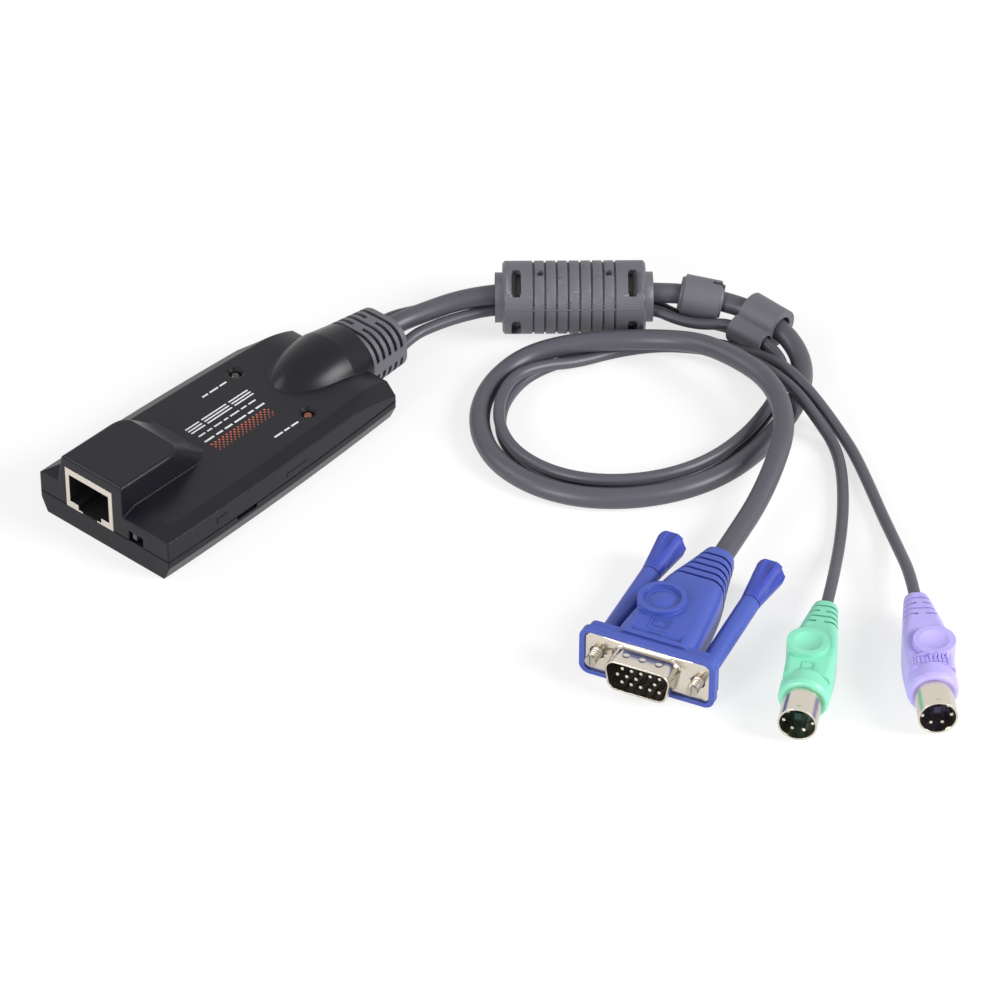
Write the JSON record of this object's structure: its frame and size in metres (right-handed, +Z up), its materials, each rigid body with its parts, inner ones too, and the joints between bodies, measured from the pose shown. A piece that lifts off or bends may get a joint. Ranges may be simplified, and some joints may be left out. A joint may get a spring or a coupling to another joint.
{
  "type": "keyboard video mouse adapter",
  "caption": "Flat plastic keyboard, video and mouse adapter with a network jack, and a bundle of cables through a ferrite to a screw-down video plug and round mouse and keyboard plugs.",
  "frame": {"origin": "on the resting face, under the middle of the case measured with its cable neck", "axes": "+X along the case from the network jack to the cables, +Y across it, +Z up from the resting face"},
  "size_m": [0.1712, 0.2137, 0.02],
  "materials": {
    "case_plastic": "fine satin texture",
    "board_laminate": "solder mask",
    "chip_plastic": "matte",
    "can_metal": "satin",
    "header_plastic": "matte",
    "wire_copper": "satin",
    "shield_steel": "bright satin",
    "contact_gold": "bright",
    "online_lens": "diffused lens",
    "power_lens": "diffused lens",
    "boot_rubber": "satin",
    "ferrite_ceramic": "matte sintered",
    "cable_jacket": "satin",
    "blue_plastic": "satin",
    "knob_plastic": "satin",
    "plug_steel": "nickel plated",
    "green_plastic": "satin",
    "purple_plastic": "satin"
  },
  "bodies": {
    "adapter": {"upper_case": "case_plastic", "lower_case": "case_plastic", "circuit_board": "board_laminate", "controller_chip": "chip_plastic", "video_driver_chip": "chip_plastic", "crystal_can": "can_metal", "capacitors": "can_metal", "wire_header": "header_plastic", "signal_wires": "wire_copper", "jack_shield": "shield_steel", "jack_insert": "header_plastic", "jack_contacts": "contact_gold", "led_online": "online_lens", "led_power": "power_lens", "switch_body": "header_plastic", "strain_relief_boot": "boot_rubber", "ferrite_core": "ferrite_ceramic", "ferrite_cover": "boot_rubber", "small_collar": "boot_rubber", "double_collar": "boot_rubber", "video_cable": "cable_jacket", "mouse_cable": "cable_jacket", "keyboard_cable": "cable_jacket", "video_plug_hood": "blue_plastic", "video_plug_shell": "plug_steel", "video_plug_insulator": "header_plastic", "video_plug_pins": "contact_gold", "mouse_plug_body": "green_plastic", "mouse_plug_shell": "plug_steel", "mouse_plug_insulator": "green_plastic", "mouse_plug_pins": "contact_gold", "keyboard_plug_body": "purple_plastic", "keyboard_plug_shell": "plug_steel", "keyboard_plug_insulator": "purple_plastic", "keyboard_plug_pins": "contact_gold"},
    "thumbscrew_left": {"thumbscrew_left": "knob_plastic", "jackscrew_left": "plug_steel"},
    "thumbscrew_right": {"thumbscrew_right": "knob_plastic", "jackscrew_right": "plug_steel"},
    "switch_lever": {"switch_lever": "header_plastic"}
  },
  "joints": [
    {"name": "left_thumbscrew_turn", "type": "hinge", "parent": "adapter", "child": "thumbscrew_left", "pos_m": [0.02477, -0.1357, 0.0065], "axis": [-0.9578, -0.2874, 0], "continuous": true},
    {"name": "right_thumbscrew_turn", "type": "hinge", "parent": "adapter", "child": "thumbscrew_right", "pos_m": [0.01758, -0.11175, 0.0065], "axis": [-0.9578, -0.2874, 0], "continuous": true},
    {"name": "switch_slide", "type": "slide", "parent": "adapter", "child": "switch_lever", "axis": [0, -1, 0], "range_m": [0, 0.0018]}
  ]
}
